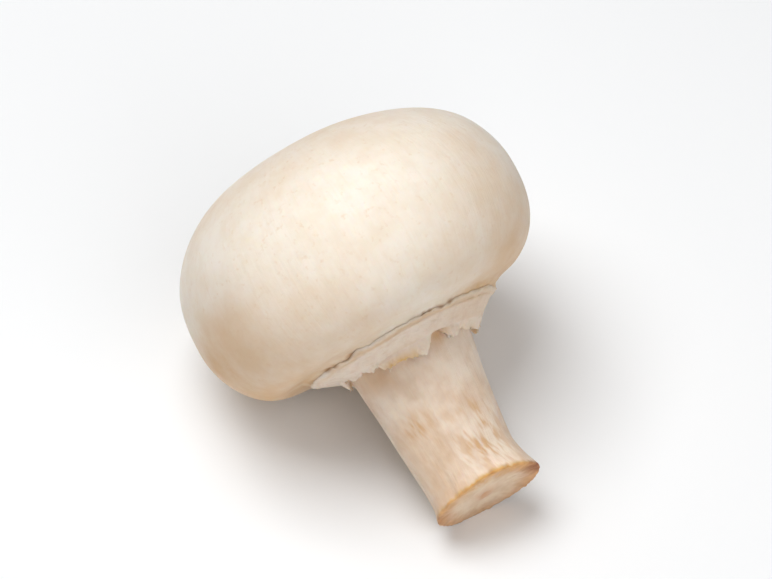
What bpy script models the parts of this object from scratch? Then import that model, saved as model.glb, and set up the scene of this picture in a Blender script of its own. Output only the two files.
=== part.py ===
"""A closed-cup button mushroom, lying on the cheek of its cap and the rim of its cut stem.

Cap, gills, veil and stem grew as one piece, so they are one solid. Half of the section is turned
about the mushroom's own axis (Z, apex up). Formulas then move the vertices: they fold the gills,
tear the veil and make the form uneven. Last, the mushroom is laid on its side, stem to +X, and
trimmed flat where it rests. Lengths are metres. A direction is in degrees around the axis,
counted from the side that ends up on top.
"""

from math import atan2, copysign, cos, degrees, exp, hypot, pi, radians, sin

import bmesh
import bpy
from mathutils import Matrix, Vector, noise

NAME = "button_mushroom"

# Cap: a flattened dome above its widest level, and a tighter cheek that rolls in below it.
CAP_RADIUS = 0.0221
CAP_RISE = 0.0161
CAP_SQUARENESS = 2.4
WIDEST_LEVEL = -0.001
CHEEK_WIDTH = 0.007
CHEEK_DROP = 0.0099
LIP_CENTRE = (0.0126, -0.0100)
LIP_RADIUS = 0.00075

# Gill chamber, veil and stem: knots of smooth curves, as (radius, height).
CHAMBER_WALL = [(0.0119, -0.0096), (0.0136, -0.0090), (0.0163, -0.0080), (0.0172, -0.0062)]
CEILING = [(0.0172, -0.0062), (0.0158, -0.0040), (0.0128, -0.0026), (0.0097, -0.0020), (0.0081, -0.0027)]
INNER_STEM = [(0.0081, -0.0027), (0.0078, -0.0060), (0.0081, -0.0105), (0.0088, -0.0118)]
VEIL = [
    *[(0.0088, -0.0118), (0.0101, -0.0109), (0.0109, -0.0098), (0.0112, -0.0093), (0.0115, -0.0097)],
    *[(0.01165, -0.0105), (0.0121, -0.01105), (0.0128, -0.0112), (0.0127, -0.0116), (0.0118, -0.0123)],
    *[(0.0105, -0.0133), (0.0092, -0.0144)],
]
HEM = [(0.0092, -0.0144), (0.00875, -0.0151), (0.00845, -0.01525), (0.0082, -0.0149), (0.0076, -0.0141)]
STEM = [(0.0076, -0.0141), (0.0074, -0.0160), (0.0069, -0.0200), (0.0064, -0.0250), (0.0060, -0.0295)]
FOOT = [(0.0060, -0.0295), (0.0060, -0.0320), (0.0064, -0.0337), (0.0062, -0.0339), (0.0032, -0.0337)]
CUT_CENTRE = (0.0, -0.0336)

STEPS = 72
GILLS = 36
GILL_DEPTH = 0.0030
WEIGHTS = ("gill", "veil", "hem")

# Directions of the three sides that the uneven growth refers to.
FRONT = -20.0
LEFT = FRONT - 90.0
RIGHT = FRONT + 90.0

# The torn veil, as (direction, width, depth) in degrees, degrees and metres.
TEARS = [(FRONT - 49, 5, 0.00025), (FRONT - 31, 6, 0.00025), (FRONT + 21, 4, 0.0002), (150, 9, 0.0003)]
NOTCHES = [
    *[(FRONT + 31, 7, 0.0015), (FRONT + 5, 12, -0.0007), (FRONT - 12, 8, -0.0004), (FRONT - 60, 16, 0.0004)],
    *[(100, 12, 0.0008), (150, 9, -0.0006), (200, 18, 0.0010)],
]
HEM_WAVE = 0.00025

# The veil is drawn up on the left: by how much at its hem, and the levels between which that grows.
VEIL_LIFT = 0.0016
VEIL_LEVELS = (-0.0109, -0.0150)

# The uneven cap and stem. Levels are heights between which a change comes in.
CAP_LEVELS = (-0.0150, -0.0085)
CAP_NOD = radians(4.5)
APEX_LEAN = 0.0004
LOBES = (0.010, 0.007)
FULL_CHEEK = 0.0008
DENT_SIZE = 0.014
DENT_SHARE = 0.025
STEM_OVAL = (0.030, 0.010)
STEM_DRIFT = 0.0004
STEM_LEVELS = (-0.0120, -0.0340)
CUT_SLANT = radians(12.0)
CUT_LEVELS = (-0.0260, -0.0338)
RIM_FLARE = 0.0009
FLARE_LEVELS = (-0.0285, -0.0336)

# How deep the cheek and the stem's rim press into the surface, and the tilts to search between.
CHEEK_BITE = 0.0005
RIM_BITE = 0.0001
LEAST_TILT = radians(15.0)
MOST_TILT = radians(40.0)


def arc(centre, radii, start, end, count, power=2.0):
    """Points of a superellipse between two angles in degrees, both ends included."""
    points = []
    for k in range(count):
        angle = radians(start + (end - start) * k / (count - 1))
        across = copysign(abs(cos(angle)) ** (2 / power), cos(angle))
        up = copysign(abs(sin(angle)) ** (2 / power), sin(angle))
        points.append((centre[0] + radii[0] * across, centre[1] + radii[1] * up))
    return points


def curve(knots, count=1):
    """A Catmull-Rom curve through the knots, count points to a stretch, without the last knot."""
    padded = [Vector(knot) for knot in (knots[0], *knots, knots[-1])]
    points = []
    for a, b, c, d in zip(padded, padded[1:], padded[2:], padded[3:]):
        for k in range(count):
            t = k / count
            bend = (2 * a - 5 * b + 4 * c - d) * t**2 + (3 * b - a - 3 * c + d) * t**3
            points.append(tuple(b + ((c - a) * t + bend) / 2))
    return points


def weighted(points, weight=None):
    """(radius, height, and the three weights) of a stretch: the named one swells between its ends."""
    rows = []
    for k, point in enumerate(points):
        swell = sin(pi * (k + 0.5) / len(points))
        rows.append((*point, *(swell if name == weight else 0.0 for name in WEIGHTS)))
    return rows


def half_section():
    """The outline from the apex round the lip, through the gill chamber and down to the cut."""
    cap = arc((0, WIDEST_LEVEL), (CAP_RADIUS, CAP_RISE), 90, 0, 13, CAP_SQUARENESS)
    cheek = arc((CAP_RADIUS - CHEEK_WIDTH, WIDEST_LEVEL), (CHEEK_WIDTH, CHEEK_DROP), 0, -90, 8)[1:]
    lip = arc(LIP_CENTRE, (LIP_RADIUS, LIP_RADIUS), -80, -200, 5)
    rows = weighted(cap + cheek + lip + curve(CHAMBER_WALL))
    rows += weighted(curve(CEILING, 3), "gill")
    rows += weighted(curve(INNER_STEM))
    rows += weighted(curve(VEIL), "veil")
    rows += weighted(curve(HEM), "hem")
    rows += weighted(curve(STEM, 2) + curve(FOOT) + [FOOT[-1], CUT_CENTRE])
    return rows


def turned(rows):
    """The mesh that the outline makes when turned about Z, with its weights as attributes."""
    mesh = bpy.data.meshes.new("half_section")
    mesh.from_pydata([(row[0], 0, row[1]) for row in rows], [(k, k + 1) for k in range(len(rows) - 1)], [])
    for column, name in enumerate(WEIGHTS, 2):
        mesh.attributes.new(name, "FLOAT", "POINT").data.foreach_set("value", [row[column] for row in rows])
    obj = bpy.data.objects.new("half_section", mesh)
    bpy.context.scene.collection.objects.link(obj)
    turn = obj.modifiers.new("turn", "SCREW")
    turn.steps = turn.render_steps = STEPS
    turn.use_merge_vertices = True
    turn.merge_threshold = 0.00001
    solid = bpy.data.meshes.new_from_object(obj.evaluated_get(bpy.context.evaluated_depsgraph_get()))
    bpy.data.objects.remove(obj)
    bpy.data.meshes.remove(mesh)
    solid.name = NAME
    return solid


def ease(value, levels):
    """0 at the first level, 1 at the second, and smooth between them."""
    share = min(max((value - levels[0]) / (levels[1] - levels[0]), 0.0), 1.0)
    return share * share * (3 - 2 * share)


def near(angle, centre, width):
    """1 at the centre direction, falling away over about the width on either side."""
    away = (angle - centre + 180) % 360 - 180
    return exp(-((away / width) ** 2))


def towards(angle):
    """The unit vector across the axis in a direction."""
    return Vector((cos(radians(angle)), sin(radians(angle)), 0))


def folded(radius, height, angle, gill, veil, hem):
    """Folds the gills, opens the tears under the cap's lip, draws up the veil and frays its hem."""
    height -= GILL_DEPTH * gill * abs((angle * GILLS / 360) % 1 - 0.5) * 2
    for centre, width, depth in TEARS:
        tear = depth * veil * near(angle, centre, width)
        radius -= tear
        height -= tear
    if veil or hem:
        height += VEIL_LIFT * near(angle, LEFT, 45) * ease(height, VEIL_LEVELS)
    for centre, width, depth in NOTCHES:
        height += depth * hem * near(angle, centre, width)
    radius += HEM_WAVE * hem * sin(radians(7 * angle))
    height += HEM_WAVE * hem * sin(radians(11 * angle + 40))
    return radius, height


def uneven(radius, height, angle):
    """Makes the cap lobed, with one full cheek, and the stem oval, with a flared rim on one side."""
    in_cap = ease(height, CAP_LEVELS)
    lobes = LOBES[0] * cos(radians(2 * (angle - 40))) + LOBES[1] * cos(radians(3 * angle + 70))
    oval = STEM_OVAL[0] * cos(radians(2 * (angle - LEFT))) + STEM_OVAL[1] * cos(radians(5 * angle))
    flare = RIM_FLARE * near(angle, RIGHT, 60) * ease(height, FLARE_LEVELS) * min(radius / FOOT[0][0], 1)
    in_cheek = ease(radius, (0.0125, 0.0185)) * (1 - ease(height, (-0.004, 0.006)))
    sag = FULL_CHEEK * (near(angle, LEFT, 55) - 0.9 * near(angle, RIGHT, 50))
    return radius * (1 + lobes * in_cap + oval * (1 - in_cap)) + flare, height - sag * in_cheek


def leaning(point):
    """Takes the form off its axis: the apex and the cap lean, the stem drifts and is cut aslant."""
    point = point + towards(LEFT) * APEX_LEAN * ease(point.z, (WIDEST_LEVEL, WIDEST_LEVEL + CAP_RISE))
    point += towards(LEFT) * STEM_DRIFT * ease(point.z, STEM_LEVELS)
    point.z += ease(point.z, CUT_LEVELS) * point.dot(towards(FRONT)) * sin(CUT_SLANT)
    pivot = Vector((0, 0, CAP_LEVELS[0]))
    nod = Matrix.Rotation(CAP_NOD * ease(point.z, CAP_LEVELS), 3, towards(FRONT + 90))
    return pivot + nod @ (point - pivot)


def grown(co, weights):
    """Where a vertex of the turned outline ends up, before the mushroom is laid down."""
    angle = degrees(atan2(co.y, co.x))
    radius, height = folded(hypot(co.x, co.y), co.z, angle, *weights)
    radius, height = uneven(radius, height, angle)
    point = leaning(towards(angle) * radius + Vector((0, 0, height)))
    return point * (1 + DENT_SHARE * noise.noise(point / DENT_SIZE))


def grow(mesh):
    """Moves every vertex to where it has grown."""
    weights = [mesh.attributes[name].data for name in WEIGHTS]
    places = [grown(v.co, [w[v.index].value for w in weights]) for v in mesh.vertices]
    for vertex, place in zip(mesh.vertices, places):
        vertex.co = place


def lay_down(mesh):
    """Tips the stem towards +X until cheek and rim both press in as deep as they should."""
    cap = [v.co.copy() for v in mesh.vertices if v.co.z > CAP_LEVELS[0]]
    rim = [v.co.copy() for v in mesh.vertices if v.co.z < CUT_LEVELS[0]]
    least, most = LEAST_TILT, MOST_TILT
    for _ in range(40):
        tilt = (least + most) / 2
        turn = Matrix.Rotation(tilt - pi / 2, 3, "Y")
        surface = min((turn @ co).z for co in cap) + CHEEK_BITE
        if min((turn @ co).z for co in rim) + RIM_BITE > surface:
            least = tilt
        else:
            most = tilt
    mesh.transform(Matrix.Translation((0, 0, -surface)) @ turn.to_4x4())


def trim_flat(mesh):
    """Cuts off what is below the surface, and closes the flat spots."""
    work = bmesh.new()
    work.from_mesh(mesh)
    geom = [*work.verts, *work.edges, *work.faces]
    cut = bmesh.ops.bisect_plane(work, geom=geom, plane_co=(0, 0, 0), plane_no=(0, 0, -1), clear_outer=True)
    bmesh.ops.holes_fill(work, edges=[e for e in cut["geom_cut"] if isinstance(e, bmesh.types.BMEdge)])
    bmesh.ops.triangulate(work, faces=[f for f in work.faces if len(f.verts) > 4])
    work.to_mesh(mesh)
    work.free()


def centre(mesh):
    """Moves the middle of the footprint to the origin."""
    middle = [(min(side) + max(side)) / 2 for side in zip(*(v.co.xy for v in mesh.vertices))]
    mesh.transform(Matrix.Translation((-middle[0], -middle[1], 0)))


def flesh():
    """Creamy, matt mushroom flesh."""
    material = bpy.data.materials.new("flesh")
    material.use_nodes = True
    shader = material.node_tree.nodes["Principled BSDF"]
    shader.inputs["Base Color"].default_value = (0.78, 0.66, 0.52, 1)
    shader.inputs["Roughness"].default_value = 0.6
    shader.inputs["Metallic"].default_value = 0.0
    return material


def main():
    for obj in list(bpy.data.objects):
        bpy.data.objects.remove(obj)
    mesh = turned(half_section())
    grow(mesh)
    lay_down(mesh)
    trim_flat(mesh)
    centre(mesh)
    mesh.materials.append(flesh())
    mesh.shade_smooth()
    collection = bpy.data.collections.new(NAME)
    bpy.context.scene.collection.children.link(collection)
    collection.objects.link(bpy.data.objects.new(NAME, mesh))


main()
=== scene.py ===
"""The look of the button mushroom: finer flesh in place of the frame's solid, with its materials and light.

The flesh follows the same outline and the same growth as the solid, at a finer pitch and with the
small relief that flesh has. Lengths are metres. A direction is in degrees around the mushroom's own
axis (Z, apex up), counted from the side that ends up on top. Levels are heights on that axis, and a
pair of them is the span between which a change comes in.
"""

import random
from math import atan2, copysign, cos, degrees, exp, hypot, pi, radians, sin

import bmesh
import bpy
from mathutils import Matrix, Vector, noise


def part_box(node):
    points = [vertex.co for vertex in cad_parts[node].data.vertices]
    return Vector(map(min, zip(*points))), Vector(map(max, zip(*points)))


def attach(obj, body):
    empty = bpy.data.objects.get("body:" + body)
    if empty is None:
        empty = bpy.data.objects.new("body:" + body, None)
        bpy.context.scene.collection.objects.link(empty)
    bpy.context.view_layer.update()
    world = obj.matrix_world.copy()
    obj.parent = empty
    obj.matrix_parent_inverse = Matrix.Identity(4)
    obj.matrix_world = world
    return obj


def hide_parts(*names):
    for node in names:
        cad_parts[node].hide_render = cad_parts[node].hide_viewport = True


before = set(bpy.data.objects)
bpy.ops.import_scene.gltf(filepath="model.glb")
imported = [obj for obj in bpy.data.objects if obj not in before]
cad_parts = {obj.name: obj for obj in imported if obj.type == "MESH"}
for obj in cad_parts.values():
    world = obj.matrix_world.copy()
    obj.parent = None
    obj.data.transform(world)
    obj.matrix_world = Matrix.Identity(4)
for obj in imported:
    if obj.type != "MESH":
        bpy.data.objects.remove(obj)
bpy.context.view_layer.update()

NODE = "button_mushroom"

# Cap: a flattened dome above its widest level, and a tighter cheek that rolls in below it.
CAP_RADIUS = 0.0221
CAP_RISE = 0.0161
CAP_SQUARENESS = 2.4
WIDEST_LEVEL = -0.001
CHEEK_WIDTH = 0.007
CHEEK_DROP = 0.0099
CHEEK_FOOT = [(0.0151, -0.0109), (0.0140, -0.01102), (0.0131, -0.01125), (0.0124, -0.0117)]

# The seam: the cap's lip, the film of veil that lies on it inside, and the fine roll that ends the film.
LIP_CENTRE = (0.01213, -0.01128)
LIP_RADIUS = 0.0005
LIP_ARC = (-57, -200)
SEAM_GAP = 0.00002
FILM_ARC = (-200, -60)
ROLL_CENTRE = (0.01241, -0.011765)
ROLL_RADIUS = 0.00004
ROLL_ARC = (110, -50)
SEAM = (0.0124, -0.01175)

# Gill chamber, veil and stem: knots of smooth curves, as (radius, height).
CHAMBER_WALL = [(0.0118, -0.0108), (0.0134, -0.0095), (0.0163, -0.0080), (0.0172, -0.0062)]
CEILING = [(0.0172, -0.0062), (0.0158, -0.0040), (0.0128, -0.0026), (0.0097, -0.0020), (0.0081, -0.0027)]
INNER_STEM = [(0.0081, -0.0027), (0.0078, -0.0060), (0.0081, -0.0105), (0.0088, -0.0118)]
INNER_VEIL = [(0.0088, -0.0118), (0.0096, -0.0115), (0.0104, -0.0111), (0.0110, -0.0106), (0.0114, -0.0107)]
VEIL = [
    (0.01238, -0.01186), (0.0120, -0.01216), (0.0116, -0.01248),
    (0.0110, -0.0129), (0.0104, -0.0134), (0.0092, -0.0144),
]
HEM = [(0.0092, -0.0144), (0.00875, -0.0151), (0.00845, -0.01525), (0.0082, -0.0149), (0.0076, -0.0141)]
STEM = [(0.0076, -0.0141), (0.0074, -0.0160), (0.0069, -0.0200), (0.0064, -0.0250), (0.0060, -0.0295)]
FOOT = [(0.0060, -0.0295), (0.0060, -0.0320), (0.0064, -0.0337)]
CUT = [(0.0062, -0.0339), (0.0032, -0.0337), (0.0, -0.0336)]
RIM = FOOT[-1]

STEPS = 360
GILLS = 120
GILL_DEPTH = 0.0030
ZONES = ("cap", "chamber", "gills", "core", "inside", "veil", "hem", "stem", "foot", "cut")

# Directions of the three sides that the uneven growth refers to.
FRONT = -20.0
LEFT = FRONT - 90.0
RIGHT = FRONT + 90.0

# The torn veil: tears beside the seam and notches in the hem, as (direction, width, depth).
TEARS = [
    (FRONT - 49, 3, 0.0001), (FRONT - 43, 2, 0.00006), (FRONT - 31, 5, 0.0001),
    (FRONT + 18, 1.5, 0.000075), (FRONT + 22, 1.5, 0.000075),
    (FRONT + 29, 2, 0.00005), (FRONT + 36, 2, 0.00005),
    (130, 3, 0.0001), (150, 6, 0.00015), (200, 3, 0.0001),
]
TEAR_REACH = 0.0006
NOTCHES = [
    (FRONT + 31, 6, 0.0015), (FRONT + 5, 12, -0.0007), (FRONT - 12, 8, -0.0004), (FRONT - 30, 6, 0.0003),
    (FRONT - 60, 16, 0.0004), (100, 12, 0.0008), (150, 9, -0.0006), (200, 18, 0.0010),
]

# The veil is drawn up on the left, and is free to fold below the seam and clear of the stem.
VEIL_LIFT = 0.0016
LIFT_WIDTH = 45
VEIL_LEVELS = (-0.0119, -0.0150)
FREE_LEVELS = (-0.0119, -0.0125)
FREE_RADII = (0.0077, 0.0086)

# Waves round the axis, as (count, phase, strength).
CAP_LOBES = [(2, -80, 0.010), (3, 70, 0.007)]
STEM_OVAL = [(2, -2 * LEFT, 0.030), (5, 0, 0.010)]
HEM_WAVES_OUT = [(7, -90, 0.00025)]
HEM_WAVES_UP = [(11, -50, 0.00025)]

# Layers of grain, as (cells per radian round the axis, cells per metre along it, layer, strength).
PUCKERS = [(2.5, 1500, 3.0, 0.00020), (8.0, 400, 9.0, 0.00042), (22.0, 700, 5.0, 0.00016)]
CAP_WAVES = [(3.0, 220, 0.0, 0.00005)]
VEIL_FOLDS = [(1.6, 1000, 0.0, 0.00026), (8.0, 600, 7.0, 0.00012), (30.0, 1700, 3.0, 0.00006)]
CREASE_WANDER = [(2.0, 0, 8.0, 0.0002)]
HEM_FRAY = [(6.0, 0, 0.0, 0.0007), (22.0, 0, 5.0, 0.0003), (60.0, 0, 2.0, 0.00016)]
STEM_RIBS = [(4.0, 60, 0.0, 0.00018), (12.0, 160, 2.0, 0.00006), (40.0, 260, 9.0, 0.000015)]
RIM_CURL = [(9.0, 0, 6.0, 0.0003)]
SEAM_PATCHES = [(9.0, 0, 1.0, 0.3)]
HEM_DRYING = [(4.0, 0, 4.0, 1.2)]
HEM_SPECKS = [(14.0, 1500, 2.0, 0.6)]
SCUFF_STREAKS = [(6.0, 330, 4.0, 1.0), (15.0, 620, 0.0, 0.7), (38.0, 1100, 0.0, 0.4)]
RIM_RAGS = [(5.0, 900, 6.0, 0.7), (16.0, 2400, 3.0, 0.6)]
RIM_SPECKS = [(8.0, 1200, 12.0, 0.4)]

# The other small forms: the seam's puckers, the veil's crease, and the cut's pits (as cells per metre
# and depth), dimple and curled rim.
PUCKER_REACH = 0.0012
PUCKER_WAY = (0.35, -0.94)
PUCKER_ACROSS = (0.85, 0.5)
WAVE_LEVELS = (-0.0097, -0.0088)
CREASE_LEVEL = -0.0123
CREASE_WIDTH = 0.00014
CREASE_DEPTH = 0.0002
CUT_PITS = [(420, 0.00016), (1500, 0.00006)]
DIMPLE_RADIUS = 0.0009
DIMPLE_WIDTH = 0.0005
DIMPLE_DEPTH = 0.00025
CURL_REACH = 0.0004

# The uneven cap and stem.
CAP_LEVELS = (-0.0150, -0.0085)
CAP_NOD = radians(4.5)
APEX_LEAN = 0.0004
FULL_CHEEK = 0.0008
CHEEK_SIDES = [(LEFT, 55, 1.0), (RIGHT, 50, -0.9)]
CHEEK_RADII = (0.0125, 0.0185)
CHEEK_LEVELS = (-0.004, 0.006)
DENT_SIZE = 0.014
DENT_SHARE = 0.025
STEM_DRIFT = 0.0004
STEM_LEVELS = (-0.0120, -0.0340)
CUT_SLANT = radians(12.0)
CUT_LEVELS = (-0.0260, -0.0338)
RIM_FLARE = 0.0009
FLARE_WIDTH = 60
FLARE_LEVELS = (-0.0285, -0.0336)

# Stains, and painted shade, that stand out on some sides, as (direction, width, strength).
SEAM_TAN = [(FRONT + 55, 28, 0.5)]
VEIL_TAN = [(FRONT + 65, 32, 0.3)]
VEIL_GOLD = [(FRONT - 2, 16, 0.2)]
HEM_GOLD = [(FRONT - 2, 17, 1.0)]
SCUFFED = [(FRONT + 33, 28, 0.9), (165, 40, 0.7)]
GOLDEN_RIM = [(FRONT + 15, 75, 0.70)]
BROWNED_RIM = [(RIGHT - 4, 14, 0.9), (LEFT + 6, 25, 0.3)]
CUT_TAN = [(RIGHT - 15, 55, 0.65), (LEFT, 40, 0.3)]
# The stem's side away from the light, which gets painted shade.
SHADED_STEM_SIDE = [(FRONT - 45, 30, 1.0)]
# The cap's front, facing the light, where the margin's tan and painted shade are left off so that it reads
# lit.
LIT_FRONT = [(FRONT + 14, 52, 0.85)]

# Stained patches, some of them partly painted shade, as (direction, width, level, reach, strength).
# On the cap: the patch low on the left cheek is partly tan and partly painted shade. The one just above the
# seam in front is painted shade where the skin faces down, away from the light. The rest are tan stains.
TAN_AND_SHADE_PATCHES = [
    (FRONT - 66, 26, -0.0040, 0.0055, 0.55), (FRONT - 52, 14, 0.0005, 0.0035, 0.30),
    (FRONT + 60, 26, -0.0105, 0.0025, 0.30), (FRONT + 60, 14, 0.0035, 0.0035, 0.55),
    (FRONT - 12, 34, -0.0100, 0.0022, 0.22), (120, 30, -0.0030, 0.0060, 0.30),
    (190, 34, 0.0040, 0.0060, 0.35),
]
# Painted shade along the veil's crease.
CREASE_SHADE_PATCH = (FRONT, 70, CREASE_LEVEL, 0.00022, 0.7)
SCUFF_PATCH = (FRONT - 28, 18, -0.0228, 0.0016, 1.0)
# Painted shade in the gap where the notched hem stands off the stem, tinted gold and a little brown.
HEM_GAP_SHADE = (FRONT + 32, 6, -0.0146, 0.0008, 1.0)

# The cap's tan, partly painted shade on its lower margin: its levels, and the clouds in it, in cells per
# metre.
MARGIN_TAN_AND_SHADE_LEVELS = (0.004, -0.0065)
DISC_LEVELS = (0.0065, 0.0140)
DISC_TAN = 0.32
CLOUD_CELLS = 95
CLOUD_LAYER = 11
CLOUD_MEAN = 0.8
CLOUD_SWING = 0.5

# The seam's and the veil's stains, and the painted shade in the hem's gap: how far they reach and how
# strong they are.
SEAM_STAIN_REACH = 0.0004
SEAM_TAN_REACH = 0.0014
ROLL_TAN_REACH = 0.00015
JOINED_TAN = 0.12
TORN_TAN = 0.4
TORN_BROWN = 0.45
ROLL_TAN = 0.2
VEIL_GOLD_LEVELS = (-0.0136, -0.0144)
HEM_GOLD_MEAN = 0.9
MOST_DRIED = 0.9
GAP_SHADE_GOLD = 0.6
GAP_SHADE_BROWN = 0.2

# The stem's scuffs, slanted by degrees per metre, and the painted shade on its side away from the light and
# under the veil.
SCUFF_SLANT = 2600.0
SCUFF_EDGES = (-0.35, 0.45)
SCUFF_LEVELS = (-0.0205, -0.0265)
SCUFF_FADE_LEVELS = (-0.0305, -0.0325)
SCUFF_FADE = 0.5
LEAST_SCUFFED = 0.15
MOST_SCUFFED = 0.9
SCUFF_PATCH_SHARES = (0.6, 0.2)
SIDE_SHADE_LEVELS = (-0.0200, -0.0240)
SIDE_PAINTED_SHADE = 0.3
UNDER_VEIL_SHADE_LEVELS = (-0.0180, -0.0155)
UNDER_VEIL_PAINTED_SHADE = 0.5

# The cut's stains: how far the rim's reach on either side of it, and how strong they are.
RIM_REACH = {"foot": 0.0003, "cut": 0.0016}
RIM_GOLD = 0.30
RIM_BROWN = 0.14
CUT_TAN_RADII = (0.0034, 0.0060)
LEAST_CUT_TAN = 0.35
PITH_RADIUS = 0.0012
PITH_TAN = 0.7

# The shreds on the hem: how many, and the spans that their measures are drawn from.
SHREDS = 46
SHRED_SEED = 7
SHRED_ROOT = (0.0085, -0.0151)
SHRED_SINK = (0.0001, 0.0003)
SHRED_LENGTHS = (0.0002, 0.0007)
SHRED_FLICKS = (-0.2, 0.4)
SHRED_WIDTHS = (0.0003, 0.0009)
SHRED_GOLD = (0, 0.7)
SHRED_STEPS = 5
SHRED_SWAY = 0.8
SHRED_THICKNESS = 0.00014
SHRED_TAPER = 0.85
SHRED_THINNING = 0.7
PALE_ROOT = 0.4

# The materials read lengths along the outline in centimetres.
PER_CENTIMETRE = 100

# How the mushroom lies: its axis off level, and how deep the cheek presses into the surface.
TILT = radians(24.95)
CHEEK_BITE = 0.0005

# The camera: direction round the mushroom, height above the surface, and the width that it takes in.
VIEW_AZIMUTH = 58.0
VIEW_ELEVATION = 51.5
VIEW_WIDTH = 0.0936
LENS = 200.0
SENSOR = 36.0

# Square soft lights, as (name, azimuth from the camera's, elevation, power, size), and the floor.
LIGHTS = [("key", -110, 74, 2.15, 0.33), ("fill", 32, 42, 1.0, 0.45)]
LIGHT_DISTANCE = 0.5
SKY_STRENGTH = 0.15
FLOOR_SIZE = 6
FLOOR_DROP = 0.00002


# ---------------------------------------------------------------- outline


def arc(centre, radii, span, count, power=2.0):
    """Points of a superellipse over a span of angles in degrees, both ends included."""
    points = []
    for k in range(count):
        angle = radians(span[0] + (span[1] - span[0]) * k / (count - 1))
        across = copysign(abs(cos(angle)) ** (2 / power), cos(angle))
        up = copysign(abs(sin(angle)) ** (2 / power), sin(angle))
        points.append((centre[0] + radii[0] * across, centre[1] + radii[1] * up))
    return points


def curve(knots, count):
    """A Catmull-Rom curve through the knots, count points to a stretch, without the last knot."""
    padded = [Vector(knot) for knot in (knots[0], *knots, knots[-1])]
    points = []
    for a, b, c, d in zip(padded, padded[1:], padded[2:], padded[3:]):
        for k in range(count):
            t = k / count
            bend = (2 * a - 5 * b + 4 * c - d) * t**2 + (3 * b - a - 3 * c + d) * t**3
            points.append(tuple(b + ((c - a) * t + bend) / 2))
    return points


def stretches():
    """The outline from the apex to the middle of the cut, as one list of points for each zone."""
    dome = arc((0, WIDEST_LEVEL), (CAP_RADIUS, CAP_RISE), (90, 0), 56, CAP_SQUARENESS)
    cheek_centre = (CAP_RADIUS - CHEEK_WIDTH, WIDEST_LEVEL)
    cheek = arc(cheek_centre, (CHEEK_WIDTH, CHEEK_DROP), (0, -90), 30)[1:]
    lip = arc(LIP_CENTRE, [LIP_RADIUS] * 2, LIP_ARC, 9)
    film = arc(LIP_CENTRE, [LIP_RADIUS + SEAM_GAP] * 2, FILM_ARC, 9)
    roll = arc(ROLL_CENTRE, [ROLL_RADIUS] * 2, ROLL_ARC, 4)
    return [
        dome + cheek + curve(CHEEK_FOOT, 6)[1:] + lip,
        curve(CHAMBER_WALL, 2),
        curve(CEILING, 3),
        curve(INNER_STEM, 2),
        curve(INNER_VEIL, 1),
        film + roll + curve(VEIL, 5),
        curve(HEM, 4),
        curve(STEM, 10),
        curve(FOOT, 9) + [FOOT[-1]],
        curve(CUT, 9) + [CUT[-1]],
    ]


def half_section():
    """The outline's points as (radius, height, zone, swell, along).

    The swell rises and falls between a zone's two ends. Along is the way from the apex.
    """
    sections = stretches()
    rows, along, last = [], 0.0, Vector(sections[0][0])
    for zone, points in enumerate(sections):
        for k, point in enumerate(points):
            along += (Vector(point) - last).length
            last = Vector(point)
            rows.append((*point, zone, sin(pi * (k + 0.5) / len(points)), along))
    return rows


# ---------------------------------------------------------------- growth


def ease(value, levels):
    """0 at the first level, 1 at the second, and smooth between them."""
    share = min(max((value - levels[0]) / (levels[1] - levels[0]), 0.0), 1.0)
    return share * share * (3 - 2 * share)


def band(value, level, reach):
    """1 at the level, falling away over about the reach on either side."""
    return exp(-(((value - level) / reach) ** 2))


def near(angle, centre, width):
    """1 at the centre direction, falling away over about the width on either side."""
    return band((angle - centre + 180) % 360 - 180, 0.0, width)


def close_to(spot, radius, height, reach):
    """1 at a (radius, height) spot, falling away over about the reach."""
    return band(hypot(radius - spot[0], height - spot[1]), 0.0, reach)


def sided(angle, sides, base=0.0):
    """A base all round, with (direction, width, strength) sides that stand out."""
    return sum((strength * near(angle, centre, width) for centre, width, strength in sides), base)


def waves(angle, layers):
    """(count, phase, strength) waves round the axis, taken together."""
    return sum(strength * cos(radians(count * angle + phase)) for count, phase, strength in layers)


def patch(angle, height, place):
    """How strong a (direction, width, level, reach, strength) patch is here."""
    centre, width, level, reach, strength = place
    return strength * near(angle, centre, width) * band(height, level, reach)


def towards(angle):
    """The unit vector across the axis in a direction."""
    return Vector((cos(radians(angle)), sin(radians(angle)), 0))


def grain(angle, along, layers, base=0.0):
    """Smooth noise on a tube: a base and (cells per radian, cells per metre, layer, strength) layers."""
    total = base
    for cells_round, cells_along, layer, strength in layers:
        cell = towards(angle) * cells_round + Vector((0, 0, along * cells_along + layer))
        total += strength * noise.noise(cell)
    return total


def folded(radius, height, angle, zone, swell):
    """Folds the gills, opens the tears under the cap's lip, draws up the veil and notches its hem."""
    if zone == "gills":
        height -= GILL_DEPTH * swell * abs((angle * GILLS / 360) % 1 - 0.5) * 2
    if zone == "veil":
        tear = sided(angle, TEARS) * close_to(SEAM, radius, height, TEAR_REACH)
        radius -= tear
        height -= tear
    if zone in ("veil", "hem"):
        height += VEIL_LIFT * near(angle, LEFT, LIFT_WIDTH) * ease(height, VEIL_LEVELS)
    if zone == "hem":
        radius += swell * waves(angle, HEM_WAVES_OUT)
        height += swell * (sided(angle, NOTCHES) + waves(angle, HEM_WAVES_UP))
    return radius, height


def puckered(radius, height, angle):
    """How far the skin stands out beside the seam: ridges that run round it, and short folds."""
    across = PUCKER_ACROSS[0] * (radius - SEAM[0]) + PUCKER_ACROSS[1] * (height - SEAM[1])
    return grain(angle, across, PUCKERS) * close_to(SEAM, radius, height, PUCKER_REACH)


def veil_fold(radius, height, angle):
    """How far the free veil and its hem fold in and out, with one crease that runs round."""
    free = ease(height, FREE_LEVELS) * ease(radius, FREE_RADII)
    crease = band(height, grain(angle, 0, CREASE_WANDER, CREASE_LEVEL), CREASE_WIDTH)
    return free * (grain(angle, height, VEIL_FOLDS) - CREASE_DEPTH * crease)


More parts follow.
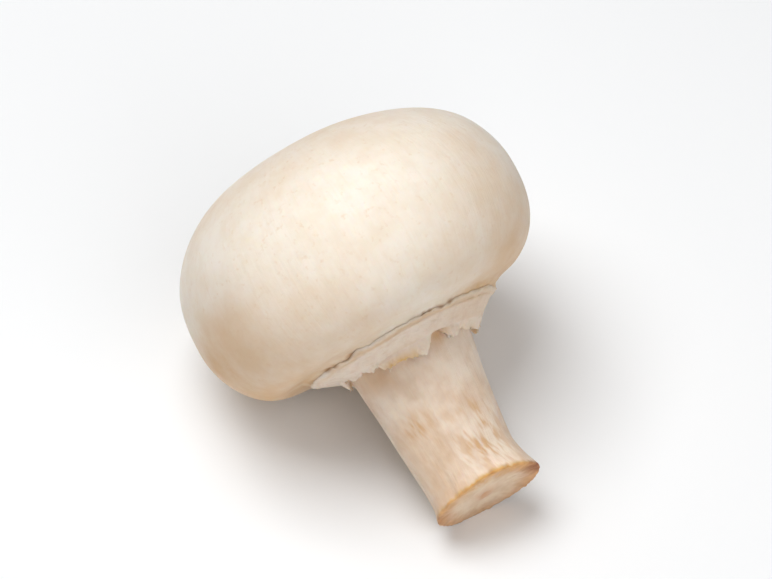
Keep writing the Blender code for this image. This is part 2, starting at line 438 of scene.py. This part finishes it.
def relief(radius, height, angle, zone, swell):
    """The small forms: the seam's puckers, the veil's folds and fray, the stem's ribs, the sawn cut."""
    if zone in ("cap", "veil"):
        pucker = puckered(radius, height, angle)
        radius += PUCKER_WAY[0] * pucker
        height += PUCKER_WAY[1] * pucker
    if zone == "cap":
        radius += grain(angle, height, CAP_WAVES) * ease(height, WAVE_LEVELS)
    if zone in ("veil", "hem"):
        radius += veil_fold(radius, height, angle)
    if zone == "hem":
        height += swell * grain(angle, 0, HEM_FRAY)
    if zone in ("stem", "foot"):
        radius += grain(angle, height, STEM_RIBS)
    if zone == "cut":
        height += sum(depth * noise.noise(towards(angle) * radius * cells) for cells, depth in CUT_PITS)
        height -= DIMPLE_DEPTH * band(radius, DIMPLE_RADIUS, DIMPLE_WIDTH)
    if zone in ("foot", "cut"):
        height -= close_to(RIM, radius, height, CURL_REACH) * abs(grain(angle, 0, RIM_CURL))
    return radius, height


def uneven(radius, height, angle):
    """Makes the cap lobed, with one full cheek, and the stem oval, with a flared rim on one side."""
    in_cap = ease(height, CAP_LEVELS)
    swollen = 1 + waves(angle, CAP_LOBES) * in_cap + waves(angle, STEM_OVAL) * (1 - in_cap)
    flare = RIM_FLARE * near(angle, RIGHT, FLARE_WIDTH) * ease(height, FLARE_LEVELS)
    in_cheek = ease(radius, CHEEK_RADII) * (1 - ease(height, CHEEK_LEVELS))
    sag = FULL_CHEEK * sided(angle, CHEEK_SIDES) * in_cheek
    return radius * swollen + flare * min(radius / FOOT[0][0], 1), height - sag


def leaning(point):
    """Takes the form off its axis: the apex and the cap lean, the stem drifts and is cut aslant."""
    point = point + towards(LEFT) * APEX_LEAN * ease(point.z, (WIDEST_LEVEL, WIDEST_LEVEL + CAP_RISE))
    point += towards(LEFT) * STEM_DRIFT * ease(point.z, STEM_LEVELS)
    point.z += ease(point.z, CUT_LEVELS) * point.dot(towards(FRONT)) * sin(CUT_SLANT)
    pivot = Vector((0, 0, CAP_LEVELS[0]))
    nod = Matrix.Rotation(CAP_NOD * ease(point.z, CAP_LEVELS), 3, towards(FRONT + 90))
    return pivot + nod @ (point - pivot)


def placed(radius, height, angle):
    """The point of the upright mushroom at a radius, height and direction of the even outline."""
    radius, height = uneven(radius, height, angle)
    point = leaning(towards(angle) * radius + Vector((0, 0, height)))
    return point * (1 + DENT_SHARE * noise.noise(point / DENT_SIZE))


# ---------------------------------------------------------------- stains and painted shade


def cap_tan(radius, height, angle):
    """How tan the cap's skin is: along its lower margin, partly tan and partly painted shade, less so on
    the lit front, on its disc and in patches.
    """
    # The margin below the widest level darkens with painted shade and tan, least on the lit front.
    margin = ease(height, MARGIN_TAN_AND_SHADE_LEVELS) * (1 - sided(angle, LIT_FRONT))
    disc = DISC_TAN * ease(height, DISC_LEVELS)
    patches = sum(patch(angle, height, place) for place in TAN_AND_SHADE_PATCHES)
    cell = towards(angle) * radius * CLOUD_CELLS + Vector((0, 0, height * CLOUD_CELLS + CLOUD_LAYER))
    return min((margin + disc + patches) * (CLOUD_MEAN + CLOUD_SWING * noise.noise(cell)), 1.0)


def stem_tan(height, angle):
    """How far the stem's skin is scuffed: short streaks on its lower half, most of all on one side, with
    painted shade on its side away from the light and under the veil.
    """
    streaks = ease(grain(angle + SCUFF_SLANT * height, height, SCUFF_STREAKS), SCUFF_EDGES)
    low = ease(height, SCUFF_LEVELS) * (1 - SCUFF_FADE * ease(height, SCUFF_FADE_LEVELS))
    streaked, even = (share * patch(angle, height, SCUFF_PATCH) for share in SCUFF_PATCH_SHARES)
    shaded_side = sided(angle, SHADED_STEM_SIDE)
    tan = streaks * min(low * sided(angle, SCUFFED, LEAST_SCUFFED) + streaked, MOST_SCUFFED)
    # Painted shade on the side away from the light, low on the stem, with an even share of the scuff patch.
    # Then painted shade under the veil.
    tan += SIDE_PAINTED_SHADE * shaded_side * ease(height, SIDE_SHADE_LEVELS) + even
    return tan + UNDER_VEIL_PAINTED_SHADE * shaded_side * ease(height, UNDER_VEIL_SHADE_LEVELS)


def cut_tan(radius, angle):
    """How tan the cut is: towards its edge, most of all on one side, and in its pith."""
    edge = sided(angle, CUT_TAN, LEAST_CUT_TAN) * ease(radius, CUT_TAN_RADII)
    return edge + PITH_TAN * band(radius, 0, PITH_RADIUS)


def seam_stains(radius, height, angle):
    """(tan, brown) beside the seam: faint all round, and strong where the skin is torn."""
    torn = sum(near(angle, centre, width) for centre, width, _ in TEARS)
    beside = close_to(SEAM, radius, height, SEAM_STAIN_REACH)
    tan = grain(angle, 0, SEAM_PATCHES, JOINED_TAN + TORN_TAN * torn)
    return tan * beside, TORN_BROWN * torn * beside


def rim_stains(radius, height, angle, zone):
    """(gold, brown) where the cut's rim has dried, in a ragged line."""
    reach = RIM_REACH[zone] * grain(angle, radius, RIM_RAGS, 1)
    rim = close_to(RIM, radius, height, reach)
    browned = sided(angle, BROWNED_RIM, grain(angle, radius, RIM_SPECKS, RIM_BROWN))
    return rim * sided(angle, GOLDEN_RIM, RIM_GOLD), rim * browned


def stains_and_shade(radius, height, angle, zone, swell):
    """(tan, gold, brown): how far the skin has tanned, dried at its edges and browned where torn. Painted
    shade is carried in the tan on the cap's margin, the veil's crease and the stem's shaded side, and in
    the gold and brown of the hem's gap.
    """
    joined, brown = seam_stains(radius, height, angle)
    tan, gold = 0.0, 0.0
    if zone == "cap":
        tan = cap_tan(radius, height, angle) + joined
        tan += sided(angle, SEAM_TAN) * close_to(SEAM, radius, height, SEAM_TAN_REACH)
    if zone == "veil":
        # The veil's crease is darkened in tan as painted shade.
        tan = joined + patch(angle, height, CREASE_SHADE_PATCH)
        tan += ROLL_TAN * close_to(SEAM, radius, height, ROLL_TAN_REACH) + sided(angle, VEIL_TAN)
        gold = sided(angle, VEIL_GOLD) * ease(height, VEIL_GOLD_LEVELS)
    if zone == "hem":
        dried = min(max(sided(angle, HEM_GOLD, grain(angle, 0, HEM_DRYING)), 0.0), MOST_DRIED)
        gold = swell**1.5 * dried * grain(angle, height, HEM_SPECKS, HEM_GOLD_MEAN)
    if zone in ("hem", "stem"):
        # Painted shade in the gap under the hem's notch, in gold and a little brown.
        spot = patch(angle, height, HEM_GAP_SHADE)
        gold += GAP_SHADE_GOLD * spot
        brown += GAP_SHADE_BROWN * spot
    if zone in ("stem", "foot"):
        tan = stem_tan(height, angle)
    if zone == "cut":
        tan = cut_tan(radius, angle)
    if zone in RIM_REACH:
        rim_gold, rim_brown = rim_stains(radius, height, angle, zone)
        gold += rim_gold
        brown += rim_brown
    return tan, gold, brown


# ---------------------------------------------------------------- meshes


def turned(rows):
    """The mesh that the outline makes when turned about Z, with zone, swell and along as attributes."""
    mesh = bpy.data.meshes.new("half_section")
    mesh.from_pydata([(row[0], 0, row[1]) for row in rows], [(k, k + 1) for k in range(len(rows) - 1)], [])
    for column, name in enumerate(("zone", "swell", "along"), 2):
        mesh.attributes.new(name, "FLOAT", "POINT").data.foreach_set("value", [row[column] for row in rows])
    obj = bpy.data.objects.new("half_section", mesh)
    bpy.context.scene.collection.objects.link(obj)
    turn = obj.modifiers.new("turn", "SCREW")
    turn.steps = turn.render_steps = STEPS
    turn.use_merge_vertices = True
    turn.merge_threshold = 0.00001
    solid = bpy.data.meshes.new_from_object(obj.evaluated_get(bpy.context.evaluated_depsgraph_get()))
    bpy.data.objects.remove(obj)
    bpy.data.meshes.remove(mesh)
    return solid


def values(mesh, name):
    """An attribute's numbers, one for each vertex."""
    numbers = [0.0] * len(mesh.vertices)
    mesh.attributes[name].data.foreach_get("value", numbers)
    return numbers


def write_surface(mesh, places, rounds, tints):
    """Stores what the materials read: place on the upright mushroom, position round it, and stains with
    painted shade.
    """
    for name, vectors in (("place", places), ("round", rounds), ("stain_and_shade", tints)):
        layer = mesh.attributes.new(name, "FLOAT_VECTOR", "POINT")
        layer.data.foreach_set("vector", [number for vector in vectors for number in vector])


def grow(mesh):
    """Moves every vertex to where it has grown, and records what the materials need."""
    places, rounds, tints = [], [], []
    rows = zip(*(values(mesh, name) for name in ("zone", "swell", "along")))
    for vertex, (zone, swell, along) in zip(mesh.vertices, rows):
        name = ZONES[int(zone + 0.5)]
        angle = degrees(atan2(vertex.co.y, vertex.co.x))
        radius, height = hypot(vertex.co.x, vertex.co.y), vertex.co.z
        tints.append(stains_and_shade(radius, height, angle, name, swell))
        radius, height = relief(*folded(radius, height, angle, name, swell), angle, name, swell)
        places.append(placed(radius, height, angle))
        rounds.append((*towards(angle).xy, along * PER_CENTIMETRE))
    for vertex, place in zip(mesh.vertices, places):
        vertex.co = place
    write_surface(mesh, places, rounds, tints)


def trim_flat(mesh):
    """Cuts off what is below the surface, and closes the flat spots."""
    work = bmesh.new()
    work.from_mesh(mesh)
    geom = [*work.verts, *work.edges, *work.faces]
    cut = bmesh.ops.bisect_plane(work, geom=geom, plane_co=(0, 0, 0), plane_no=(0, 0, -1), clear_outer=True)
    bmesh.ops.holes_fill(work, edges=[e for e in cut["geom_cut"] if isinstance(e, bmesh.types.BMEdge)])
    bmesh.ops.triangulate(work, faces=[f for f in work.faces if len(f.verts) > 4])
    work.to_mesh(mesh)
    work.free()


def laid_down(mesh):
    """The matrix that lays the upright mesh where the frame's solid lies."""
    turn = Matrix.Rotation(TILT - pi / 2, 3, "Y")
    sides = list(zip(*(turn @ vertex.co for vertex in mesh.vertices)))
    low, high = [min(side) for side in sides], [max(side) for side in sides]
    solid_low, solid_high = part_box(NODE)
    shift = [(solid_low[i] + solid_high[i] - low[i] - high[i]) / 2 for i in (0, 1)]
    return Matrix.Translation((*shift, -low[2] - CHEEK_BITE)) @ turn.to_4x4()


def flesh_mesh():
    """The whole mushroom's fine mesh, laid down, and the matrix that laid it."""
    mesh = turned(half_section())
    grow(mesh)
    lay = laid_down(mesh)
    mesh.transform(lay)
    trim_flat(mesh)
    return mesh, lay


class Strips:
    """Thin tapered strips of flesh on the outline's surface, gathered in one mesh."""

    def __init__(self):
        self.verts, self.faces, self.rounds, self.tints = [], [], [], []

    def add(self, path, width, gold):
        """A strip along (radius, height, angle) points, four-sided and narrowing to its golden tip."""
        first = len(self.verts)
        for k, (radius, height, angle) in enumerate(path):
            share = k / (len(path) - 1)
            thick = SHRED_THICKNESS / 2 * (1 - SHRED_THINNING * share)
            spread = degrees(width / 2 * (1 - SHRED_TAPER * share**1.5) / radius)
            for off, turn in ((0, -spread), (thick, 0), (0, spread), (-thick, 0)):
                self.verts.append(placed(radius + off, height, angle + turn))
                self.rounds.append((*towards(angle + turn).xy, -height * PER_CENTIMETRE))
                self.tints.append((0.0, gold * (PALE_ROOT + (1 - PALE_ROOT) * share), 0.0))
        for start in range(first, len(self.verts) - 4, 4):
            for side, after in ((0, 1), (1, 2), (2, 3), (3, 0)):
                self.faces.append((start + side, start + after, start + 4 + after, start + 4 + side))
        end = len(self.verts) - 4
        self.faces += [(first + 3, first + 2, first + 1, first), (end, end + 1, end + 2, end + 3)]

    def mesh(self, lay):
        """The strips' mesh, laid down with the mushroom."""
        mesh = bpy.data.meshes.new("strips")
        mesh.from_pydata(self.verts, [], self.faces)
        write_surface(mesh, self.verts, self.rounds, self.tints)
        mesh.transform(lay)
        return mesh


def hem_shreds(draw):
    """Shreds of veil that hang from the hem."""
    strips = Strips()
    for _ in range(SHREDS):
        angle = draw.uniform(-180, 180)
        radius, height = relief(*folded(*SHRED_ROOT, angle, "hem", 1.0), angle, "hem", 1.0)
        length, flick = draw.uniform(*SHRED_LENGTHS), draw.uniform(*SHRED_FLICKS)
        path = [(radius - SHRED_SINK[0], height + SHRED_SINK[1], angle)]
        for k in range(1, SHRED_STEPS + 1):
            reach = length * k / SHRED_STEPS
            sway = draw.uniform(-SHRED_SWAY, SHRED_SWAY) * k
            path.append((radius + flick * reach * k / SHRED_STEPS, height - reach, angle + sway))
        strips.add(path, draw.uniform(*SHRED_WIDTHS), draw.uniform(*SHRED_GOLD))
    return strips


# ---------------------------------------------------------------- materials


def srgb(red, green, blue):
    """A colour given as the eye sees it, 0 to 255, as the linear values that shaders take."""
    parts = [part / 255 for part in (red, green, blue)]
    return (*(p / 12.92 if p <= 0.04045 else ((p + 0.055) / 1.055) ** 2.4 for p in parts), 1.0)


CREAM = srgb(245, 236, 223)
WARM_CREAM = srgb(236, 220, 199)
TAN = srgb(218, 180, 138)
BROWN = srgb(150, 92, 62)
PALE_VEIL = srgb(242, 225, 208)
DUSKY_VEIL = srgb(224, 200, 180)
DRIED_VEIL = srgb(222, 180, 116)
PALE_STEM = srgb(242, 225, 207)
DUSKY_STEM = srgb(226, 201, 178)
SCUFF = srgb(214, 172, 126)
GOLD = srgb(224, 186, 128)
PALE_CUT = srgb(236, 213, 187)
DUSKY_CUT = srgb(222, 192, 162)
TANNED_CUT = srgb(208, 150, 110)
DRIED_CUT = srgb(234, 182, 112)
PALE_GILL = srgb(150, 106, 84)
DARK_GILL = srgb(92, 60, 46)
FLOOR_WHITE = srgb(247, 248, 249)
FLOOR_ROUGHNESS = 0.7

# How flesh lets light in: its share, how much further red goes than blue, and how little it shines.
FLESH_GLOW = 0.35
FLESH_SCATTER = (1.0, 0.62, 0.36)
FLESH_SHINE = 0.25
CAP_DEPTH = 0.0016
SKIN_DEPTH = 0.0012
CUT_DEPTH = 0.001
GILL_GLOW = 0.1
GILL_SCATTER_DEPTH = 0.0005


class Paint:
    """Adds and links the shader nodes of one material."""

    def __init__(self, name):
        self.material = bpy.data.materials.new(name)
        self.material.use_nodes = True
        self.tree = self.material.node_tree
        self.shader = self.tree.nodes["Principled BSDF"]

    def put(self, socket, value):
        """Feeds a socket from another one, or with a constant."""
        if isinstance(value, bpy.types.NodeSocket):
            self.tree.links.new(value, socket)
        else:
            socket.default_value = value

    def node(self, kind, inputs, **settings):
        made = self.tree.nodes.new("ShaderNode" + kind)
        for name, value in settings.items():
            setattr(made, name, value)
        for name, value in inputs.items():
            self.put(made.inputs[name], value)
        return made

    def attribute(self, name):
        return self.node("Attribute", {}, attribute_name=name).outputs["Vector"]

    def stretched(self, vector, scale):
        return self.node("Mapping", {"Vector": vector, "Scale": scale}).outputs["Vector"]

    def noise(self, vector, scale, detail=3.0, roughness=0.55):
        inputs = {"Vector": vector, "Scale": scale, "Detail": detail, "Roughness": roughness}
        return self.node("TexNoise", inputs).outputs["Fac"]

    def between(self, value, low, high, bottom=0.0, top=1.0):
        """The value carried smoothly from the span low to high to the span bottom to top."""
        inputs = {"Value": value, "From Min": low, "From Max": high, "To Min": bottom, "To Max": top}
        return self.node("MapRange", inputs, interpolation_type="SMOOTHSTEP").outputs["Result"]

    def times(self, a, b):
        return self.node("Math", {0: a, 1: b}, operation="MULTIPLY").outputs[0]

    def mix(self, factor, a, b):
        made = self.node("Mix", {"Factor": factor}, data_type="RGBA")
        self.put(made.inputs["A"], a)
        self.put(made.inputs["B"], b)
        return made.outputs["Result"]

    def stains_and_shade(self):
        """The tan, gold and brown amounts: stains and painted shade."""
        return self.node("SeparateXYZ", {"Vector": self.attribute("stain_and_shade")}).outputs

    def stained_and_shaded(self, colour, tanned, golden):
        """The colour under its stains and painted shade, each in the colour that it takes here."""
        for amount, shade in zip(self.stains_and_shade(), (tanned, golden, BROWN)):
            colour = self.mix(amount, colour, shade)
        return colour

    def bumps(self, *layers):
        """The normal over one (height, distance) layer after another."""
        normal = None
        for height, distance in layers:
            inputs = {"Height": height, "Distance": distance, "Strength": 1.0}
            if normal is not None:
                inputs["Normal"] = normal
            normal = self.node("Bump", inputs).outputs["Normal"]
        return normal

    def finish(self, colour, roughness, normal, depth, weight=FLESH_GLOW):
        """Makes flesh of it: light goes in and comes out again over about the depth."""
        self.put(self.shader.inputs["Base Color"], colour)
        self.put(self.shader.inputs["Roughness"], roughness)
        self.put(self.shader.inputs["Normal"], normal)
        self.shader.inputs["Subsurface Weight"].default_value = weight
        self.shader.inputs["Subsurface Radius"].default_value = FLESH_SCATTER
        self.shader.inputs["Subsurface Scale"].default_value = depth
        self.shader.inputs["Specular IOR Level"].default_value = FLESH_SHINE
        return self.material


def cap_material():
    """Cap skin: cream, clouded and tanned, with painted shade in the tan on its lower margin and in two
    patches, fine threads round it and small specks.
    """
    paint = Paint("cap_skin")
    place, rings = paint.attribute("place"), paint.attribute("round")
    tan, _, brown = paint.stains_and_shade()
    clouds = paint.noise(place, 170.0, detail=4.0, roughness=0.6)
    threads = paint.noise(paint.stretched(rings, (46.0, 46.0, 2.2)), 1.0)
    specks = paint.noise(place, 1300.0, detail=2.0)
    mottle = paint.noise(place, 560.0, detail=2.0)
    pores = paint.noise(place, 900.0, detail=4.0, roughness=0.6)
    colour = paint.mix(paint.between(clouds, 0.35, 0.75, top=0.6), CREAM, WARM_CREAM)
    colour = paint.mix(paint.between(mottle, 0.4, 0.7, top=0.3), colour, WARM_CREAM)
    tanned = paint.times(tan, paint.between(clouds, 0.2, 0.7, bottom=0.6))
    colour = paint.mix(tanned, colour, TAN)
    colour = paint.mix(paint.between(threads, 0.5, 0.8, top=0.10), colour, TAN)
    colour = paint.mix(paint.between(specks, 0.58, 0.8, top=0.28), colour, TAN)
    colour = paint.mix(brown, colour, BROWN)
    roughness = paint.between(clouds, 0.2, 0.8, bottom=0.50, top=0.62)
    return paint.finish(colour, roughness, paint.bumps((threads, 0.00005), (pores, 0.00005)), CAP_DEPTH)


def veil_material():
    """Torn veil: pale, cottony strands that dry to gold, with painted shade along its crease."""
    paint = Paint("torn_veil")
    place, rings = paint.attribute("place"), paint.attribute("round")
    cotton = paint.noise(place, 700.0, detail=5.0, roughness=0.65)
    strands = paint.noise(paint.stretched(rings, (5.0, 5.0, 24.0)), 1.0, detail=4.0, roughness=0.6)
    colour = paint.mix(paint.between(cotton, 0.4, 0.8, top=0.7), PALE_VEIL, DUSKY_VEIL)
    colour = paint.mix(paint.between(strands, 0.5, 0.8, top=0.35), colour, TAN)
    colour = paint.stained_and_shaded(colour, TAN, DRIED_VEIL)
    return paint.finish(colour, 0.78, paint.bumps((strands, 0.00016), (cotton, 0.00016)), SKIN_DEPTH)


def stem_material():
    """Stem skin: pale, with long fibres, scuffed tan, and painted shade on one side and under the veil."""
    paint = Paint("stem_skin")
    place, rings = paint.attribute("place"), paint.attribute("round")
    fibres = paint.noise(paint.stretched(rings, (30.0, 30.0, 4.5)), 1.0, detail=5.0, roughness=0.6)
    clouds = paint.noise(place, 260.0)
    pores = paint.noise(place, 1100.0, detail=4.0, roughness=0.6)
    colour = paint.mix(paint.between(clouds, 0.35, 0.7), PALE_STEM, DUSKY_STEM)
    colour = paint.mix(paint.between(fibres, 0.5, 0.75, top=0.22), colour, TAN)
    colour = paint.stained_and_shaded(colour, SCUFF, GOLD)
    return paint.finish(colour, 0.64, paint.bumps((fibres, 0.00010), (pores, 0.00005)), SKIN_DEPTH)


def cut_material():
    """Cut flesh: duller and full of pores."""
    paint = Paint("cut_flesh")
    place = paint.attribute("place")
    pores = paint.noise(place, 900.0, detail=4.0, roughness=0.6)
    clouds = paint.noise(place, 330.0)
    colour = paint.mix(paint.between(clouds, 0.35, 0.7), PALE_CUT, DUSKY_CUT)
    colour = paint.mix(paint.between(pores, 0.5, 0.8, top=0.25), colour, TAN)
    colour = paint.stained_and_shaded(colour, TANNED_CUT, DRIED_CUT)
    return paint.finish(colour, 0.6, paint.bumps((pores, 0.0002)), CUT_DEPTH)


def gill_material():
    """Gills: brown and dark."""
    paint = Paint("gills")
    fine = paint.noise(paint.attribute("place"), 500.0)
    colour = paint.mix(fine, PALE_GILL, DARK_GILL)
    return paint.finish(colour, 0.8, paint.bumps((fine, 0.0001)), GILL_SCATTER_DEPTH, GILL_GLOW)


def floor_material():
    """The plain pale floor."""
    paint = Paint("pale_floor")
    paint.shader.inputs["Base Color"].default_value = FLOOR_WHITE
    paint.shader.inputs["Roughness"].default_value = FLOOR_ROUGHNESS
    return paint.material


# ---------------------------------------------------------------- stage


def from_side(azimuth, elevation):
    """The direction from the mushroom to a viewer or light there. Azimuth 0 looks along +Y."""
    turn, rise = radians(azimuth), radians(elevation)
    return Vector((sin(turn) * cos(rise), -cos(turn) * cos(rise), sin(rise)))


def aimed(obj, spot, direction, distance):
    """Puts a camera or light off the spot in a direction, looking at it."""
    obj.location = spot + direction * distance
    obj.rotation_euler = (-direction).to_track_quat("-Z", "Y").to_euler()
    bpy.context.scene.collection.objects.link(obj)
    return obj


def add_camera(spot):
    """A long lens that looks at the spot from the side that the view is taken from."""
    data = bpy.data.cameras.new("camera")
    data.lens = LENS
    data.sensor_width = SENSOR
    data.clip_start = 0.01
    data.clip_end = 10.0
    distance = VIEW_WIDTH * LENS / SENSOR
    camera = bpy.data.objects.new("camera", data)
    bpy.context.scene.camera = aimed(camera, spot, from_side(VIEW_AZIMUTH, VIEW_ELEVATION), distance)


def add_lights(spot):
    """The soft lights, aimed at the spot from round the camera."""
    for name, azimuth, elevation, power, size in LIGHTS:
        data = bpy.data.lights.new(name, "AREA")
        data.energy = power
        data.size = size
        direction = from_side(VIEW_AZIMUTH + azimuth, elevation)
        aimed(bpy.data.objects.new(name, data), spot, direction, LIGHT_DISTANCE)


def add_floor(spot):
    """A plain floor, a hair below the spot where the mushroom rests."""
    bpy.ops.mesh.primitive_plane_add(size=FLOOR_SIZE, location=(spot.x, spot.y, -FLOOR_DROP))
    floor = bpy.context.object
    floor.name = "floor"
    floor.data.materials.append(floor_material())


def set_sky():
    """Faint white light from all round, and colours shown as they are."""
    world = bpy.data.worlds.new("studio")
    world.use_nodes = True
    world.node_tree.nodes["Background"].inputs["Color"].default_value = (1.0, 1.0, 1.0, 1.0)
    world.node_tree.nodes["Background"].inputs["Strength"].default_value = SKY_STRENGTH
    bpy.context.scene.world = world
    bpy.context.scene.view_settings.view_transform = "Standard"


# ---------------------------------------------------------------- assembly


def added(name, mesh, materials):
    """Puts a mesh in the scene, smooth and with its materials."""
    mesh.name = name
    for material in materials:
        mesh.materials.append(material)
    mesh.shade_smooth()
    piece = bpy.data.objects.new(name, mesh)
    bpy.context.scene.collection.objects.link(piece)
    return piece


def paint_zones(mesh, slots):
    """Gives each face the material of its zone, taken as the furthest zone along the outline."""
    zones = values(mesh, "zone")
    for polygon in mesh.polygons:
        polygon.material_index = slots[int(max(zones[v] for v in polygon.vertices) + 0.5)]


def dress():
    """Puts the fine flesh in the place of the frame's solid, with the shreds on its hem."""
    cap, gills, veil, stem, cut = range(5)
    materials = [cap_material(), gill_material(), veil_material(), stem_material(), cut_material()]
    mesh, lay = flesh_mesh()
    flesh = added("mushroom_flesh", mesh, materials)
    paint_zones(mesh, (cap, gills, gills, gills, veil, veil, veil, stem, stem, cut))
    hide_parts(NODE)
    strips = hem_shreds(random.Random(SHRED_SEED))
    shreds = added("veil_shreds", strips.mesh(lay), [materials[veil]])
    for piece in (flesh, shreds):
        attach(piece, "root")


dress()
low, high = (Vector(corner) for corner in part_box(NODE))
middle = (low + high) / 2
add_camera(middle)
add_floor(middle)
add_lights(middle)
set_sky()
